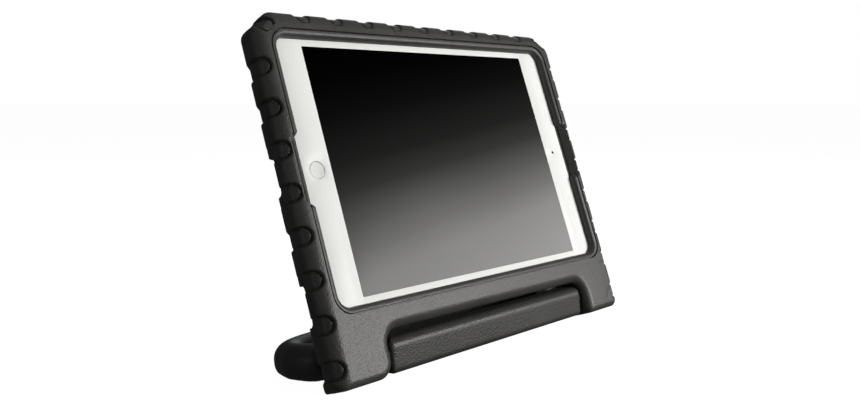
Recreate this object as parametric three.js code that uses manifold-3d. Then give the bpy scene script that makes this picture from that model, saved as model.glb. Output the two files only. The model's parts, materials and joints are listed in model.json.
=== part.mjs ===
// Foam tablet case with a folding stand handle, holding a generic 9.7 inch tablet.
// Millimetres, +Z up. The case stands on its two legs and on the handle, which is
// folded back, and its front faces -Y, leaning back.

import * as THREE from "three";
import { mergeVertices } from "three/addons/utils/BufferGeometryUtils.js";
import Module from "manifold-3d";

const wasm = await Module();
wasm.setup();

// ---------------------------------------------------------------- driving dimensions

const GAP = 0.3; // between pieces that touch
const LEAN = THREE.MathUtils.degToRad(21); // how far the case leans back

// The tablet. Its frame: x right, y up along the glass, z out of the glass, and the
// origin at the middle of the screen.
const TABLET_W = 240;
const TABLET_H = 169.5;
const TABLET_T = 7.5;
const TABLET_CORNER = 11;
const TABLET_WALL = 1;
const GLASS_INSET = 1.7; // the metal edge round the glass
const GLASS_T = 1;
const SCREEN_W = 197.1;
const SCREEN_H = 147.8;
const HOME_R = 5.2;
const HOME_X = -108.5;
const FRONT_CAMERA_R = 1;
const FRONT_CAMERA_X = 107.3;
const REAR_CAMERA = [108, -72];

// The foam case, in the tablet's frame.
const CASE_HALF_W = 132;
const CASE_TOP = 94;
const CASE_BOTTOM = -119.5;
const CASE_FRONT = 5.5;
const CASE_BACK = -16;
const EDGE_R = 9.2; // rounding of the front and back edges
const CORNER_CUT = 14.5; // the slanted top corners
const FOOT_CORNER = 5;
const LEG_W = 40;
const NOTCH_TOP = -94.5; // the cut-out between the legs
const NOTCH_R = 9;
const LEG_CORNER = 10.5; // the legs' inner bottom corners
const OPENING_HALF = [118, 77.8]; // at the glass, from where the lip slopes up and out
const OPENING_R = 9;
const LIP_EDGE = 1; // how high the lip's thin edge is
const LIP_SLOPE = 4; // how far out, and up, the slope runs
const GROOVE_HALF = [122.8, 82.6];
const GROOVE_R = 12;
const GROOVE_W = 0.8;
const GROOVE_DEPTH = 0.8;
const POCKET_GAP = 0.5; // foam to tablet
const LIP_REACH = 1.4; // how far the lip piece runs past the tablet's edge
const SCOOP_HALF = 20.5;
const SCOOP_REACH = 3.6;

// The grip bumps: a domed rib in a round recess, all along both sides and the top.
const BUMP_PITCH = 24;
const SIDE_BUMPS_FROM = -108;
const SIDE_BUMPS = 8;
const TOP_BUMPS_FROM = -96;
const TOP_BUMPS = 9;
const RECESS_R = 5.5;
const RECESS_IN = 3.6; // from the outline to the recess's axis
const RECESS_TOP = 6;
const RIB_R = 4.6;
const RIB_IN = 5.8;
const RIB_TOP = 4.6;
const CORNER_BUMP_OUT = 1.6; // the bumps on the slanted corners sit this much shallower
const BUMP_SIDES = 8;

// The openings in the left side, for the charging port and below it.
const SIDE_OPENINGS = [0, -72];
const SIDE_OPENING_W = 23;
const OPENING_OUTER_TOP = -5.6;
const OPENING_INNER_TOP = -2.1;

// The handle, in a frame of its own: x along the hinge, y back from it, z up.
const HINGE_Y = -106.8; // the hinge line, in the tablet's frame
const HINGE_Z = -6.2;
const HANDLE_SLOPE = THREE.MathUtils.degToRad(7.5);
const HANDLE_T = 18;
const BAR_DEEPER = 2.2; // how much lower than the handle's even thickness the bar reaches
const ARCH_DEEPER = 3; // and the arch
const ARCH_FROM = 12; // how far back the arch starts
const HANDLE_EDGE_R = 6;
const BAR_HALF_W = 88;
const BAR_FRONT = -7.5;
const BAR_BACK = 9;
const ARCH_HALF_W = 130;
const ARCH_WIDEST = 42; // how far back the arch is widest
const ARCH_FAR = 70;
const ARM_W = 19;
const FOOT_FLAT = 3.6; // how much of the legs' back corner the table flattens

// The hinge.
const PIN_R = 3;
const PIN_FLANGE_R = 6;
const SOCKET_R = 6.2;
const SOCKET_DEPTH = 12;
const CORE_R = 4.2;

// The tablet's edge buttons: middle along the edge, and length.
const BUTTON_TRAVEL = 0.4;
const BUTTON_PROUD = 0.35;
const BUTTON_Z = -4;
const POWER_BUTTON = [-70, 10];
const VOLUME_UP_BUTTON = [66, 9.5];
const VOLUME_DOWN_BUTTON = [79, 9.5];
const PORT_HALF_W = 4.4;
const JACK_Y = 70;
const JACK_R = 1.75;

// ---------------------------------------------------------------- solids

// A closed geometry as a solid that can be cut and joined.
function solid(geometry, matrix = new THREE.Matrix4()) {
  const bare = geometry.clone();
  bare.deleteAttribute("normal");
  bare.deleteAttribute("uv");
  bare.applyMatrix4(matrix);
  const merged = mergeVertices(bare, 1e-4);
  const mesh = new wasm.Mesh({
    numProp: 3,
    vertProperties: new Float32Array(merged.attributes.position.array),
    triVerts: new Uint32Array(merged.index.array),
  });
  return new wasm.Manifold(mesh);
}

function geometryOf(manifold) {
  const mesh = manifold.getMesh();
  const geometry = new THREE.BufferGeometry();
  geometry.setAttribute("position", new THREE.BufferAttribute(new Float32Array(mesh.vertProperties), 3));
  geometry.setIndex(new THREE.BufferAttribute(new Uint32Array(mesh.triVerts), 1));
  geometry.computeVertexNormals();
  return geometry;
}

// A rectangle with round corners.
function roundRect(halfW, halfH, radius) {
  const shape = new THREE.Shape();
  shape.moveTo(halfW, -halfH + radius);
  shape.absarc(halfW - radius, halfH - radius, radius, 0, Math.PI / 2);
  shape.absarc(-halfW + radius, halfH - radius, radius, Math.PI / 2, Math.PI);
  shape.absarc(-halfW + radius, -halfH + radius, radius, Math.PI, 1.5 * Math.PI);
  shape.absarc(halfW - radius, -halfH + radius, radius, 1.5 * Math.PI, 2 * Math.PI);
  return shape;
}

// A shape pushed along z, from low to high.
function slab(shape, low, high, curveSegments = 5) {
  const geometry = new THREE.ExtrudeGeometry(shape, { depth: high - low, bevelEnabled: false, curveSegments });
  return solid(geometry, new THREE.Matrix4().makeTranslation(0, 0, low));
}

// The same, with its edges rounded inwards.
function softSlab(shape, low, high, edge, curveSegments = 5, bevelSegments = 3) {
  const geometry = new THREE.ExtrudeGeometry(shape, {
    depth: high - low - 2 * edge,
    bevelThickness: edge,
    bevelSize: edge,
    bevelOffset: -edge,
    bevelSegments,
    curveSegments,
  });
  return solid(geometry, new THREE.Matrix4().makeTranslation(0, 0, low + edge));
}

function block(low, high) {
  const size = high.map((value, i) => value - low[i]);
  const middle = high.map((value, i) => (value + low[i]) / 2);
  return solid(new THREE.BoxGeometry(...size), new THREE.Matrix4().makeTranslation(...middle));
}

// A cylinder along z from low to high, at x, y.
function disc(radius, x, y, low, high, sides = 24) {
  const matrix = new THREE.Matrix4().makeTranslation(x, y, (low + high) / 2);
  matrix.multiply(new THREE.Matrix4().makeRotationX(Math.PI / 2));
  return solid(new THREE.CylinderGeometry(radius, radius, high - low, sides), matrix);
}

// A cylinder along x from low to high, at y, z.
function rod(radius, y, z, low, high, sides = 20) {
  const matrix = new THREE.Matrix4().makeTranslation((low + high) / 2, y, z);
  matrix.multiply(new THREE.Matrix4().makeRotationZ(Math.PI / 2));
  return solid(new THREE.CylinderGeometry(radius, radius, high - low, sides), matrix);
}

function joined(solids) {
  return solids.reduce((sum, item) => sum.add(item));
}

// ---------------------------------------------------------------- materials

function finish(colour, roughness, metalness = 0) {
  return new THREE.MeshStandardMaterial({ color: colour, roughness, metalness });
}

const FINISHES = {
  foam: () => finish(0x242426, 0.75),
  plastic: () => finish(0x1c1c1e, 0.5),
  aluminium: () => finish(0xb9bcc0, 0.35, 1),
  glass: () => finish(0xf2f2f4, 0.12),
  screen: () => finish(0x2b2b2d, 0.12),
  button: () => finish(0xeeeeef, 0.3),
  battery: () => finish(0x3a3a3c, 0.6),
  board: () => finish(0x1f4a33, 0.6),
  lens: () => finish(0x101014, 0.1),
  steel: () => finish(0x9c9fa4, 0.3, 1),
};

const assembly = new THREE.Group();
const leaning = new THREE.Group();
const handleFrame = new THREE.Group();

function place(group, name, item, finishName) {
  const mesh = new THREE.Mesh(geometryOf(item), FINISHES[finishName]());
  mesh.name = name;
  group.add(mesh);
}

// ---------------------------------------------------------------- the foam case

// The case's outline, with slanted top corners and the cut-out between the legs.
function caseOutline() {
  const notchHalf = CASE_HALF_W - LEG_W;
  const shape = new THREE.Shape();
  const corner = notchHalf + LEG_CORNER;
  const cornerY = CASE_BOTTOM + LEG_CORNER;
  shape.moveTo(notchHalf, cornerY);
  shape.absarc(corner, cornerY, LEG_CORNER, Math.PI, 1.5 * Math.PI);
  shape.lineTo(CASE_HALF_W, CASE_BOTTOM);
  shape.lineTo(CASE_HALF_W, CASE_TOP - CORNER_CUT);
  shape.lineTo(CASE_HALF_W - CORNER_CUT, CASE_TOP);
  shape.lineTo(-CASE_HALF_W + CORNER_CUT, CASE_TOP);
  shape.lineTo(-CASE_HALF_W, CASE_TOP - CORNER_CUT);
  shape.lineTo(-CASE_HALF_W, CASE_BOTTOM);
  shape.absarc(-corner, cornerY, LEG_CORNER, 1.5 * Math.PI, 2 * Math.PI);
  shape.lineTo(-notchHalf, NOTCH_TOP - NOTCH_R);
  shape.absarc(-notchHalf + NOTCH_R, NOTCH_TOP - NOTCH_R, NOTCH_R, Math.PI, Math.PI / 2, true);
  shape.absarc(notchHalf - NOTCH_R, NOTCH_TOP - NOTCH_R, NOTCH_R, Math.PI / 2, 0, true);
  return shape;
}

// The legs' back corners are sharper than the other edges, so they stand firmly.
function heels() {
  const inner = CASE_HALF_W - LEG_W + LEG_CORNER + 1;
  const outer = CASE_HALF_W - FOOT_CORNER;
  const length = outer - inner;
  const low = CASE_BOTTOM;
  const back = CASE_BACK;
  const profile = new THREE.Shape([
    new THREE.Vector2(low + 16, back + 8),
    new THREE.Vector2(low + 16, back),
    new THREE.Vector2(low + 1.5, back),
    new THREE.Vector2(low, back + 1.5),
    new THREE.Vector2(low, back + 12),
    new THREE.Vector2(low + 8, back + 12),
  ]);
  const alongX = new THREE.Matrix4().makeBasis(
    new THREE.Vector3(0, 1, 0),
    new THREE.Vector3(0, 0, 1),
    new THREE.Vector3(1, 0, 0)
  );
  const geometry = new THREE.ExtrudeGeometry(profile, { depth: length, bevelEnabled: false });
  return [-1, 1].map((side) => {
    const middle = side * (inner + outer) / 2;
    const shift = new THREE.Matrix4().makeTranslation(middle - length / 2, 0, 0);
    return solid(geometry, shift.multiply(alongX));
  });
}

// A round-ended rod that runs from the back of the case to a dome near its front.
// Every bump is one of these inside a bigger one that is cut away.
function domedRod(radius, x, y, top) {
  const low = CASE_BACK - 4;
  const profile = [new THREE.Vector2(0, low), new THREE.Vector2(radius, low)];
  const steps = 2;
  for (let i = 0; i <= steps; i += 1) {
    const angle = (i / steps) * (Math.PI / 2);
    const out = i === steps ? 0 : radius * Math.cos(angle);
    profile.push(new THREE.Vector2(out, top - radius + radius * Math.sin(angle)));
  }
  const matrix = new THREE.Matrix4().makeTranslation(x, y, 0);
  matrix.multiply(new THREE.Matrix4().makeRotationX(Math.PI / 2));
  return solid(new THREE.LatheGeometry(profile, BUMP_SIDES), matrix);
}

// Where each bump sits on the outline, which way is out, and how much shallower it is.
function bumpPlaces() {
  const places = [];
  const slant = CORNER_CUT / 2;
  for (const side of [-1, 1]) {
    for (let i = 0; i < SIDE_BUMPS; i += 1) {
      const y = SIDE_BUMPS_FROM + i * BUMP_PITCH;
      places.push({ x: side * CASE_HALF_W, y, outX: side, outY: 0, shallow: 0 });
    }
    places.push({
      x: side * (CASE_HALF_W - slant),
      y: CASE_TOP - slant,
      outX: side * Math.SQRT1_2,
      outY: Math.SQRT1_2,
      shallow: CORNER_BUMP_OUT,
    });
  }
  for (let i = 0; i < TOP_BUMPS; i += 1) {
    places.push({ x: TOP_BUMPS_FROM + i * BUMP_PITCH, y: CASE_TOP, outX: 0, outY: 1, shallow: 0 });
  }
  return places;
}

// The domed rods of all the bumps, with their axes so far inside the outline.
function bumpRods(radius, inset, top) {
  return joined(bumpPlaces().map(({ x, y, outX, outY, shallow }) => {
    const move = inset - shallow;
    return domedRod(radius, x - move * outX, y - move * outY, top);
  }));
}

function withBumps(body) {
  const ribs = bumpRods(RIB_R, RIB_IN, RIB_TOP).intersect(body);
  return body.subtract(bumpRods(RECESS_R, RECESS_IN, RECESS_TOP)).add(ribs);
}

// The scoops in the lip, in the middle of both short sides, to reach the tablet's ends.
function scoops() {
  const inner = OPENING_HALF[0] - 4;
  const outer = OPENING_HALF[0] + SCOOP_REACH;
  return [-1, 1].map((side) => {
    const outline = new THREE.Shape([
      new THREE.Vector2(side * inner, -SCOOP_HALF - 4),
      new THREE.Vector2(side * outer, -SCOOP_HALF + 5),
      new THREE.Vector2(side * outer, SCOOP_HALF - 5),
      new THREE.Vector2(side * inner, SCOOP_HALF + 4),
    ]);
    return slab(outline, -2.5, CASE_FRONT + 1);
  });
}

// The openings in the left side's wall, from the back of the case up to the tablet's
// edge. Their ceilings slope up towards the tablet.
function sideOpenings() {
  const wall = -TABLET_W / 2 - POCKET_GAP;
  const far = -CASE_HALF_W - 8;
  const slope = (OPENING_INNER_TOP - OPENING_OUTER_TOP) / (wall + CASE_HALF_W);
  const profile = new THREE.Shape([
    new THREE.Vector2(far, CASE_BACK - 4),
    new THREE.Vector2(wall + 0.2, CASE_BACK - 4),
    new THREE.Vector2(wall + 0.2, OPENING_INNER_TOP),
    new THREE.Vector2(far, OPENING_INNER_TOP - slope * (wall - far)),
  ]);
  const geometry = new THREE.ExtrudeGeometry(profile, { depth: SIDE_OPENING_W, bevelEnabled: false });
  return SIDE_OPENINGS.map((y) => {
    const matrix = new THREE.Matrix4().makeTranslation(0, y + SIDE_OPENING_W / 2, 0);
    return solid(geometry, matrix.multiply(new THREE.Matrix4().makeRotationX(Math.PI / 2)));
  });
}

function groove() {
  const outer = slab(roundRect(...GROOVE_HALF, GROOVE_R), CASE_FRONT - GROOVE_DEPTH, CASE_FRONT + 1);
  const inner = roundRect(GROOVE_HALF[0] - GROOVE_W, GROOVE_HALF[1] - GROOVE_W, GROOVE_R - GROOVE_W);
  return outer.subtract(slab(inner, CASE_FRONT - 2, CASE_FRONT + 2));
}

// Room in the pocket's wall for the tablet's edge buttons.
function buttonRoom() {
  const spare = 3;
  const depth = 2.4;
  const x = TABLET_W / 2;
  const y = -TABLET_H / 2;
  const [powerY, powerLength] = POWER_BUTTON;
  const high = 0.5;
  const low = -TABLET_T - GAP;
  const rooms = [
    block([x - 1, powerY - powerLength / 2 - spare, low], [x + depth, powerY + powerLength / 2 + spare, high]),
  ];
  for (const [buttonX, length] of [VOLUME_UP_BUTTON, VOLUME_DOWN_BUTTON]) {
    const half = length / 2 + spare;
    rooms.push(block([buttonX - half, y - depth, low], [buttonX + half, y + 1, high]));
  }
  return joined(rooms);
}

function foamBody() {
  const soft = softSlab(caseOutline(), CASE_BACK, CASE_FRONT, EDGE_R);
  const limit = slab(roundRect(CASE_HALF_W, -CASE_BOTTOM, FOOT_CORNER), CASE_BACK - 1, CASE_FRONT + 1);
  let body = joined([soft.intersect(limit), ...heels()]);
  body = withBumps(body);
  const pocketW = TABLET_W / 2 + POCKET_GAP;
  const pocketH = TABLET_H / 2 + POCKET_GAP;
  const pocket = slab(roundRect(pocketW, pocketH, TABLET_CORNER), -TABLET_T - GAP, GAP);
  const opening = slab(roundRect(...OPENING_HALF, OPENING_R), -1, LIP_EDGE + 0.1);
  const flareHalf = OPENING_HALF.map((value) => value + LIP_SLOPE);
  const flareShape = roundRect(...flareHalf, OPENING_R + LIP_SLOPE);
  const flare = softSlab(flareShape, LIP_EDGE, LIP_EDGE + 2 * LIP_SLOPE + 1, LIP_SLOPE, 5, 1);
  const cameraHole = disc(6, ...REAR_CAMERA, CASE_BACK - 1, -TABLET_T);
  const cuts = [pocket, opening, flare, groove(), ...scoops(), buttonRoom(), cameraHole, ...sideOpenings()];
  for (const cut of cuts) {
    body = body.subtract(cut);
  }
  return body;
}

// The hinge holes in the legs' inner faces.
function socketHoles(radius, depth) {
  const face = CASE_HALF_W - LEG_W;
  return joined([-1, 1].map((side) => {
    const ends = [side * (face - 3), side * (face + depth)].sort((a, b) => a - b);
    return rod(radius, HINGE_Y, HINGE_Z, ...ends);
  }));
}

// Everything above the table, in the tablet's frame.
function aboveTable() {
  const size = 600;
  const tableZ = tableHeight();
  const matrix = new THREE.Matrix4().makeRotationX(-(Math.PI / 2 - LEAN));
  matrix.multiply(new THREE.Matrix4().makeTranslation(0, 0, tableZ + size / 2));
  return solid(new THREE.BoxGeometry(size, size, size), matrix);
}

// The table's height below the middle of the screen: the legs' back bottom corner,
// less the part that stands flat.
function tableHeight() {
  const corner = CASE_BOTTOM * Math.cos(LEAN) + CASE_BACK * Math.sin(LEAN);
  return corner + FOOT_FLAT * Math.sin(LEAN) + 0.12;
}

function addCase() {
  const body = foamBody().subtract(socketHoles(SOCKET_R + GAP, SOCKET_DEPTH + GAP)).intersect(aboveTable());
  const lipHalf = [TABLET_W / 2 + LIP_REACH, TABLET_H / 2 + LIP_REACH];
  const lipZone = slab(roundRect(...lipHalf, TABLET_CORNER + 1), GAP, CASE_FRONT + 1);
  const gapHalf = lipHalf.map((value) => value + GAP);
  const shellCut = slab(roundRect(...gapHalf, TABLET_CORNER + 1), -0.1, CASE_FRONT + 1);
  place(leaning, "case_shell", body.subtract(shellCut), "foam");
  const lip = body.intersect(lipZone);
  const reach = CASE_HALF_W;
  place(leaning, "front_lip_top", lip.intersect(block([-reach, 0, 0], [reach, reach, reach])), "foam");
  place(leaning, "front_lip_bottom", lip.intersect(block([-reach, -reach, 0], [reach, 0, reach])), "foam");
}

function addSockets() {
  const face = CASE_HALF_W - LEG_W;
  for (const [side, name] of [[-1, "hinge_socket_left"], [1, "hinge_socket_right"]]) {
    const span = [side * face, side * (face + SOCKET_DEPTH)].sort((a, b) => a - b);
    const hole = [side * (face - 1), side * (face + SOCKET_DEPTH - 1.5)].sort((a, b) => a - b);
    const bush = rod(SOCKET_R, HINGE_Y, HINGE_Z, ...span);
    place(leaning, name, bush.subtract(rod(PIN_R + GAP, HINGE_Y, HINGE_Z, ...hole)), "plastic");
  }
}

// ---------------------------------------------------------------- the handle

// Half of a closed outline given on the right, mirrored to the left.
function mirrored(right) {
  const left = right.map((point) => new THREE.Vector2(-point.x, point.y)).reverse();
  return [...right, ...left];
}

// A smooth line through a few points, as points.
function smooth(points, count) {
  return new THREE.SplineCurve(points.map(([x, y]) => new THREE.Vector2(x, y))).getPoints(count);
}

// The handle seen from above: a bar between the legs, and a wide arch behind them.
function handleOutline() {
  const shoulder = [
    [BAR_HALF_W, BAR_BACK + 2],
    [BAR_HALF_W + 1.5, BAR_BACK + 5.8],
    [BAR_HALF_W + 8, BAR_BACK + 6.8],
    [BAR_HALF_W + 26, BAR_BACK + 8],
    [ARCH_HALF_W - 5, BAR_BACK + 13],
    [ARCH_HALF_W, ARCH_WIDEST - 8],
    [ARCH_HALF_W, ARCH_WIDEST],
    [ARCH_HALF_W - 4, ARCH_WIDEST + 12],
    [ARCH_HALF_W - 14, ARCH_FAR - 7],
    [ARCH_HALF_W - 30, ARCH_FAR - 1.5],
    [ARCH_HALF_W - 48, ARCH_FAR],
  ];
  const right = [new THREE.Vector2(BAR_HALF_W, BAR_FRONT), ...smooth(shoulder, 16)];
  return new THREE.Shape(mirrored(right));
}

function handleHole() {
  const inner = ARCH_HALF_W - ARM_W;
  const far = ARCH_FAR - ARM_W;
  const edge = [
    [BAR_HALF_W - 27, BAR_BACK],
    [BAR_HALF_W - 16, BAR_BACK + 3],
    [BAR_HALF_W - 11, BAR_BACK + 13],
    [BAR_HALF_W - 2, BAR_BACK + 22],
    [inner - 5, BAR_BACK + 26.5],
    [inner, ARCH_WIDEST + 1],
    [inner - 5, far - 3],
    [inner - 18, far],
  ];
  return new THREE.Path(mirrored(smooth(edge, 12)));
}

function addHandle() {
  const outline = handleOutline();
  outline.holes.push(handleHole());
  const half = HANDLE_T / 2;
  const hinge = new THREE.Vector3(0, HINGE_Y, HINGE_Z);
  const bore = rod(CORE_R + GAP, 0, 0, -BAR_HALF_W - 1, BAR_HALF_W + 1);
  const wide = ARCH_HALF_W + 1;
  const overlap = 0.5;
  const barLow = -half - BAR_DEEPER;
  const barZone = block([-wide, BAR_FRONT - 1, barLow - 1], [wide, ARCH_FROM + overlap, half + 1]);
  const archZone = block([-wide, ARCH_FROM, -half - ARCH_DEEPER - 1], [wide, ARCH_FAR + 1, half + 1]);
  const bar = softSlab(outline, barLow, half, HANDLE_EDGE_R).intersect(barZone);
  const arch = softSlab(outline, -half - ARCH_DEEPER, half, HANDLE_EDGE_R).intersect(archZone);
  const foam = bar.add(arch).subtract(bore);
  const hingeHeight = hinge.y * Math.cos(LEAN) + hinge.z * Math.sin(LEAN) - tableHeight();
  const size = 400;
  const table = new THREE.Matrix4().makeRotationX(HANDLE_SLOPE);
  table.multiply(new THREE.Matrix4().makeTranslation(0, 0, size / 2 - hingeHeight));
  const onTable = solid(new THREE.BoxGeometry(size, size, size), table);
  place(handleFrame, "handle_grip", foam.intersect(onTable), "foam");

  const pinHold = 8;
  const coreEnd = BAR_HALF_W - 1;
  let core = rod(CORE_R, 0, 0, -coreEnd, coreEnd);
  for (const side of [-1, 1]) {
    const ends = [side * (coreEnd - pinHold), side * (coreEnd + 1)].sort((a, b) => a - b);
    core = core.subtract(rod(2 + GAP, 0, 0, ...ends));
  }
  place(handleFrame, "handle_core", core, "plastic");

  const face = CASE_HALF_W - LEG_W;
  for (const [side, name] of [[-1, "hinge_pin_left"], [1, "hinge_pin_right"]]) {
    const span = (low, high) => [side * low, side * high].sort((a, b) => a - b);
    const stem = rod(2, 0, 0, ...span(coreEnd - pinHold + GAP, BAR_HALF_W + 1));
    const flange = rod(PIN_FLANGE_R, 0, 0, ...span(BAR_HALF_W + GAP, face - GAP));
    const journal = rod(PIN_R, 0, 0, ...span(face - 1, face + SOCKET_DEPTH - 2.2));
    place(handleFrame, name, joined([stem, flange, journal]), "steel");
  }
}

// ---------------------------------------------------------------- the tablet

function addTabletBody() {
  const half = [TABLET_W / 2, TABLET_H / 2];
  const inside = half.map((value) => value - TABLET_WALL);
  let cover = softSlab(roundRect(...half, TABLET_CORNER), -TABLET_T, TABLET_T, 1.6);
  cover = cover.intersect(slab(roundRect(...half, TABLET_CORNER), -TABLET_T, 0));
  const room = slab(roundRect(...inside, TABLET_CORNER - TABLET_WALL), -TABLET_T + TABLET_WALL, 1);
  cover = cover.subtract(room);
  const wallX = half[0] - 3;
  const wallY = -half[1] + 3;
  const [powerY, powerLength] = POWER_BUTTON;
  const halfButton = 1.2 + GAP;
  const cuts = [
    block([wallX, powerY - powerLength / 2 - GAP, BUTTON_Z - halfButton],
      [half[0] + 1, powerY + powerLength / 2 + GAP, BUTTON_Z + halfButton]),
    block([-half[0] - 1, -PORT_HALF_W, BUTTON_Z - 1.4], [-wallX, PORT_HALF_W, BUTTON_Z + 1.4]),
    rod(JACK_R + 0.2, JACK_Y, BUTTON_Z, wallX, half[0] + 1, 16),
    disc(4 + GAP, ...REAR_CAMERA, -TABLET_T - 1, -TABLET_T + TABLET_WALL + 1),
  ];
  for (const [buttonX, length] of [VOLUME_UP_BUTTON, VOLUME_DOWN_BUTTON]) {
    cuts.push(block([buttonX - length / 2 - GAP, -half[1] - 1, BUTTON_Z - halfButton],
      [buttonX + length / 2 + GAP, wallY, BUTTON_Z + halfButton]));
  }
  place(leaning, "tablet_back_cover", cover.subtract(joined(cuts)), "aluminium");
}

function addTabletFront() {
  const glass = [TABLET_W / 2 - GLASS_INSET, TABLET_H / 2 - GLASS_INSET];
  const corner = TABLET_CORNER - GLASS_INSET;
  const window = slab(new THREE.Shape(roundRect(SCREEN_W / 2, SCREEN_H / 2, 0.5).getPoints(2)), -GLASS_T - 1, 1);
  let bezel = slab(roundRect(...glass, corner), -GLASS_T, 0).subtract(window);
  bezel = bezel.subtract(disc(HOME_R, HOME_X, 0, -GLASS_T - 1, 1));
  bezel = bezel.subtract(disc(FRONT_CAMERA_R + GAP / 2, FRONT_CAMERA_X, 0, -GLASS_T - 1, 1, 16));
  place(leaning, "tablet_front_bezel", bezel, "glass");
  const screenLow = [-SCREEN_W / 2 + GAP, -SCREEN_H / 2 + GAP, -2.4];
  const screenHigh = [SCREEN_W / 2 - GAP, SCREEN_H / 2 - GAP, 0];
  place(leaning, "tablet_screen", block(screenLow, screenHigh), "screen");
  const camera = disc(FRONT_CAMERA_R, FRONT_CAMERA_X, 0, -3, -0.1, 16);
  place(leaning, "tablet_front_camera", camera, "lens");
}

function addTabletInside() {
  const low = -TABLET_T + TABLET_WALL + GAP;
  const edge = TABLET_W / 2 - TABLET_WALL - GAP;
  place(leaning, "battery_left", block([-78, -58, low], [-8, 74, -3]), "battery");
  place(leaning, "battery_right", block([-4, -58, low], [70, 74, -3]), "battery");
  place(leaning, "main_board", block([75, -60, low], [100, 60, -4]), "board");
  place(leaning, "speaker_left", block([-edge + 3, 14, low], [-edge + 13, 60, -2.9]), "plastic");
  place(leaning, "speaker_right", block([-edge + 3, -60, low], [-edge + 13, -14, -2.9]), "plastic");
  const port = block([-edge, -PORT_HALF_W - 1, low], [-edge + 9, PORT_HALF_W + 1, -2.5]);
  const mouth = block([-edge - 1, -PORT_HALF_W + 0.5, BUTTON_Z - 1.1], [-edge + 7, PORT_HALF_W - 0.5, BUTTON_Z + 1.1]);
  place(leaning, "charging_port", port.subtract(mouth), "steel");
  const jack = rod(JACK_R + 0.7, JACK_Y, BUTTON_Z, edge - 14, edge, 16);
  place(leaning, "headphone_jack", jack.subtract(rod(JACK_R, JACK_Y, BUTTON_Z, edge - 12.5, edge + 1, 16)), "plastic");
  place(leaning, "rear_camera", disc(4, ...REAR_CAMERA, -TABLET_T - 0.1, -4), "lens");
}

function addButtons() {
  const edgeX = TABLET_W / 2;
  const edgeY = TABLET_H / 2;
  const inner = TABLET_WALL + BUTTON_TRAVEL + 1.2;
  const half = 1.2;
  const home = disc(HOME_R - GAP, HOME_X, 0, -1.7, -0.2);
  place(leaning, "home_button", home, "button");
  const [powerY, powerLength] = POWER_BUTTON;
  const power = block([edgeX - inner, powerY - powerLength / 2, BUTTON_Z - half],
    [edgeX + BUTTON_PROUD, powerY + powerLength / 2, BUTTON_Z + half]);
  place(leaning, "power_button", power, "aluminium");
  const volumes = [["volume_up_button", VOLUME_UP_BUTTON], ["volume_down_button", VOLUME_DOWN_BUTTON]];
  for (const [name, [x, length]] of volumes) {
    const button = block([x - length / 2, -edgeY - BUTTON_PROUD, BUTTON_Z - half],
      [x + length / 2, -edgeY + inner, BUTTON_Z + half]);
    place(leaning, name, button, "aluminium");
  }
}

// ---------------------------------------------------------------- assembly

addCase();
addSockets();
addTabletBody();
addTabletFront();
addTabletInside();
addButtons();
addHandle();

// The tablet's frame leans back; the handle's frame hangs on the hinge line.
leaning.rotation.x = Math.PI / 2 - LEAN;
handleFrame.position.set(0, HINGE_Y, HINGE_Z).applyEuler(leaning.rotation);
handleFrame.rotation.x = -HANDLE_SLOPE;
assembly.add(leaning, handleFrame);

// The whole stands with the middle of its footprint at the origin.
assembly.updateMatrixWorld(true);
const bounds = new THREE.Box3().setFromObject(assembly, true);
const middleY = (bounds.min.y + bounds.max.y) / 2;
assembly.position.set(0, -middleY, -bounds.min.z);

export default assembly;
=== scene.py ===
"""Foam tablet case with a folding stand handle, holding a generic 9.7 inch tablet."""
import json
import math

import bmesh
import bpy
import numpy as np
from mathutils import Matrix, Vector
from mathutils.geometry import delaunay_2d_cdt


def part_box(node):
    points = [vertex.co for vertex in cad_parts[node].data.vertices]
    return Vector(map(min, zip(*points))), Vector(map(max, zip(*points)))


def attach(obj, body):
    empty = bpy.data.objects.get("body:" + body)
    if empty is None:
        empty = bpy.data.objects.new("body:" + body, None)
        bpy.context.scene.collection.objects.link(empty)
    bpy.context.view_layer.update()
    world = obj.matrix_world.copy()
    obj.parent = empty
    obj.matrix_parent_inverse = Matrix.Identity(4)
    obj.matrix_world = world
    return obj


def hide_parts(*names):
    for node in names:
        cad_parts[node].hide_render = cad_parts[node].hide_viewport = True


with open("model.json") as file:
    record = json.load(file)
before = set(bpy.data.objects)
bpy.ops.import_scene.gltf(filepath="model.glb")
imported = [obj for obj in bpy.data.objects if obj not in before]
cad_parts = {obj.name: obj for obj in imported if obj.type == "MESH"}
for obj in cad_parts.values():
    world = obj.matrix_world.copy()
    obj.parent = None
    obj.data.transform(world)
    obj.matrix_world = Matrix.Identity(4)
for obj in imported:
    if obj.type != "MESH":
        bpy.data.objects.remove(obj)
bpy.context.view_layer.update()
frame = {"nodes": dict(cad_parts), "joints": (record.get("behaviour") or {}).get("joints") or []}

MM = 0.001

# ------------------------------------------------------------------ the two frames
# The case's frame: u right, v up along the glass, n out of the glass, in millimetres,
# with its origin at the middle of the screen. The handle's frame: x along the hinge,
# t back, h up, with its origin on the hinge.

LEAN = math.radians(21)
HANDLE_SLOPE = math.radians(7.5)
SCREEN_T = 2.4  # the CAD screen's thickness, whose front is the glass

RIGHT = np.array([1.0, 0.0, 0.0])
UP_CASE = np.array([0.0, math.sin(LEAN), math.cos(LEAN)])
OUT = np.array([0.0, -math.cos(LEAN), math.sin(LEAN)])
BACK = np.array([0.0, math.cos(HANDLE_SLOPE), -math.sin(HANDLE_SLOPE)])
RISE = np.array([0.0, math.sin(HANDLE_SLOPE), math.cos(HANDLE_SLOPE)])

screen_low, screen_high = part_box("tablet_screen")
SCREEN_MIDDLE = np.array((screen_low + screen_high) / 2) + OUT * SCREEN_T / 2 * MM
HINGE = np.array(next(j["pos_m"] for j in frame["joints"] if j["name"] == "handle_turn"))


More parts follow.
